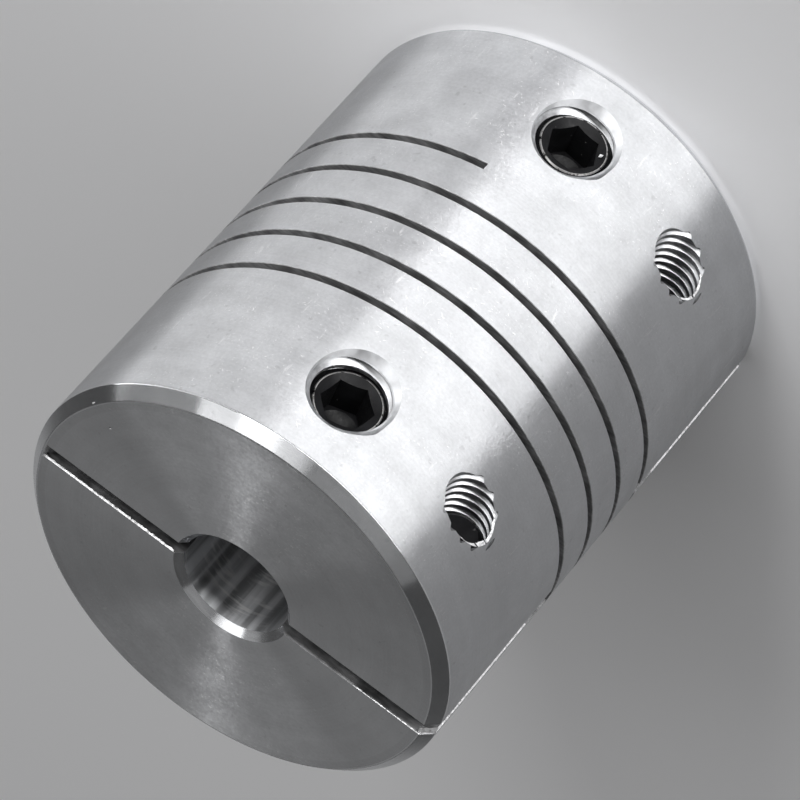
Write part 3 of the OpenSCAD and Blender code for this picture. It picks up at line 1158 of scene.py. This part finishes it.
class BuildBurrs(bpy.types.Operator):
    """Models the torn lips along the slits, round the clamp holes and at the nicks, with a painted
    glint on them
    """

    bl_idname = "coupling.build_burrs"
    bl_label = "Burrs"

    def execute(self, context):
        sizes = context.scene.coupling_body
        crest = context.scene.coupling_screws.clamp_minor
        # Painted glint: the burrs' pale colour, half diffuse, keeps them bright from every side
        torn = Surface("torn_aluminium", roughness=0.5, metallic=0.5).work(TORN, TORN_GLINT_COLOUR)
        side = -sizes.slit_width / 2
        bore = UPPER_BORE_RADIUS + sizes.bore_chamfer
        rim = BODY_RADIUS - sizes.edge_chamfer
        closed = BODY_RADIUS - sizes.hinge_wall
        rise = sizes.groove_pitch * sizes.groove_turns
        groove_top = BODY_LENGTH / 2 + sizes.groove_shift + rise / 2
        outside = BODY_RADIUS * SIDE_LIP_SHARE
        top = BODY_LENGTH - LIP_SINK

        inward = Vector((0, LIP_REACH, -LIP_REACH * 2))
        path = straight((-closed, side, top), (-bore, side, top))
        torn_lip(torn, "lip_closed_side", path, inward, jag=1.5, seed=3)
        path = straight((OPEN_LIP_START, side, top), (rim, side, top))
        torn_lip(torn, "lip_open_side", path, OPEN_LIP_SHARE * inward, jag=1, seed=5)
        for name, low, high, seed in (
            ("lip_upper_mouth", groove_top, BODY_LENGTH - sizes.edge_chamfer, 7),
            ("lip_lower_mouth", sizes.edge_chamfer, groove_top - rise, 9),
        ):
            path = straight((outside, side, low), (outside, side, high))
            lean = Vector((-2 * LIP_REACH, LIP_REACH, 0))
            torn_lip(torn, name, path, lean, jag=1, seed=seed)
        for screw, label, first, last, reach, seed in RIM_LIPS:
            x, _, z = node_middle(screw)
            path = rim_path(x, z, crest, first, last)
            lean = Vector((-reach, RIM_RISE * reach, 0)) * LIP_REACH
            torn_lip(torn, f"{screw}_{label}", path, lean, RIM_JAG, seed)
        screw_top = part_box("lower_set_screw")[1].y
        chip_z = node_middle("lower_set_screw").z - CHIP_DROP
        chip = Vector((CHIP_REACH, screw_top - LIP_REACH, chip_z))
        path = straight(chip, chip - Vector((0, 0, 2 * LIP_STEP)))
        torn_lip(torn, "screw_chip", path, Vector(CHIP_LEAN) * LIP_REACH, jag=1, seed=18)
        nick = Vector((NICK_PLACE[0] * rim, NICK_PLACE[1] * rim, top))
        path = straight(nick, nick * NICK_SPREAD - Vector((0, 0, LIP_STEP * NICK_STEPS)))
        torn_lip(torn, "chamfer_nick", path, Vector(NICK_LEAN) * LIP_REACH, jag=1, seed=16)
        path = straight((rim - LIP_STEP, side, top), (outside, side, top - sizes.edge_chamfer))
        lean = Vector((0, CORNER_LEAN * LIP_REACH, -LIP_REACH))
        torn_lip(torn, "lip_open_corner", path, lean, jag=1, seed=17)
        return {"FINISHED"}


# Stage


def direction(longitude, latitude):
    """Unit vector at two angles."""
    flat = math.cos(latitude)
    return Vector((flat * math.cos(longitude), flat * math.sin(longitude), math.sin(latitude)))


def camera_axes(stage):
    """Right, up and back directions of the camera."""
    back = direction(stage.camera_longitude, stage.camera_latitude)
    level = Vector((0, 0, 1)).cross(back).normalized()
    upright = back.cross(level)
    turn = stage.camera_roll
    right = level * math.cos(turn) + upright * math.sin(turn)
    return right, back.cross(right), back


def add_soft_box(name, longitude, latitude, width, height, radiance):
    """A rectangular lamp that shines at the part with a given brightness of its face."""
    leave_selection()
    middle = Vector((0, 0, BODY_LENGTH / 2))
    out = direction(math.radians(longitude), math.radians(latitude))
    place = middle + out * LAMP_DISTANCE
    bpy.ops.object.light_add(type="AREA", location=place)
    lamp = bpy.context.object
    lamp.name = name
    lamp.data.shape = "RECTANGLE"
    lamp.data.size = width
    lamp.data.size_y = height
    lamp.data.energy = AREA_LAMP_WATTS * radiance * width * height
    turn = (middle - place).to_track_quat("-Z", "Y")
    lamp.matrix_world = Matrix.Translation(place) @ turn.to_matrix().to_4x4()


class BuildStage(bpy.types.Operator):
    """Sets the floor, the lamps and the camera"""

    bl_idname = "coupling.build_stage"
    bl_label = "Stage"

    def execute(self, context):
        stage = context.scene.coupling_stage
        leave_selection()
        bpy.ops.mesh.primitive_plane_add(size=FLOOR_SIZE, location=(0, 0, -FLOOR_GAP))
        floor = bpy.context.object
        floor.name = "floor"
        surface = Surface("pale_floor", FLOOR_ROUGHNESS, metallic=0.0)
        surface.set("Base Color", stage.floor_colour)
        floor.data.materials.append(surface.material)

        world = bpy.data.worlds.new("studio")
        world.use_nodes = True
        background = world.node_tree.nodes["Background"]
        background.inputs["Color"].default_value = (1, 1, 1, 1)
        background.inputs["Strength"].default_value = stage.world_strength
        context.scene.world = world

        for lamp in LAMPS:
            add_soft_box(*lamp)

        right, up, back = camera_axes(stage)
        bpy.ops.object.camera_add()
        camera = bpy.context.object
        camera.name = "camera"
        place = Vector(stage.camera_aim) + back * stage.camera_distance
        turn = Matrix((right, up, back)).transposed().to_4x4()
        camera.matrix_world = Matrix.Translation(place) @ turn
        camera.data.lens = stage.camera_lens
        camera.data.sensor_width = SENSOR_WIDTH
        camera.data.clip_start = CLIP_START
        context.scene.camera = camera
        context.scene.view_settings.view_transform = "Standard"
        return {"FINISHED"}


OPERATORS = (BuildBody, BuildSetScrews, BuildClampScrews, BuildBurrs, BuildStage)


class CouplingPanel(bpy.types.Panel):
    """Lists the steps that build the coupling"""

    bl_idname = "COUPLING_PT_steps"
    bl_label = "Helical beam coupling"
    bl_space_type = "VIEW_3D"
    bl_region_type = "UI"
    bl_category = "Coupling"

    def draw(self, context):
        for name in GROUPS:
            box = self.layout.box()
            settings = getattr(context.scene, name)
            for entry in settings.bl_rna.properties:
                if entry.identifier not in ("rna_type", "name"):
                    box.prop(settings, entry.identifier)
        for operator in OPERATORS:
            self.layout.operator(operator.bl_idname)


CLASSES = (*GROUPS.values(), *OPERATORS, CouplingPanel)


def register():
    for item in CLASSES:
        bpy.utils.register_class(item)
    for name, group in GROUPS.items():
        setattr(bpy.types.Scene, name, bpy.props.PointerProperty(type=group))


def unregister():
    for name in GROUPS:
        delattr(bpy.types.Scene, name)
    for item in reversed(CLASSES):
        bpy.utils.unregister_class(item)


def main():
    """Builds every piece and the stage."""
    register()
    bpy.ops.coupling.build_body()
    bpy.ops.coupling.build_set_screws()
    bpy.ops.coupling.build_clamp_screws()
    bpy.ops.coupling.build_burrs()
    bpy.ops.coupling.build_stage()


if __name__ == "__main__":
    main()
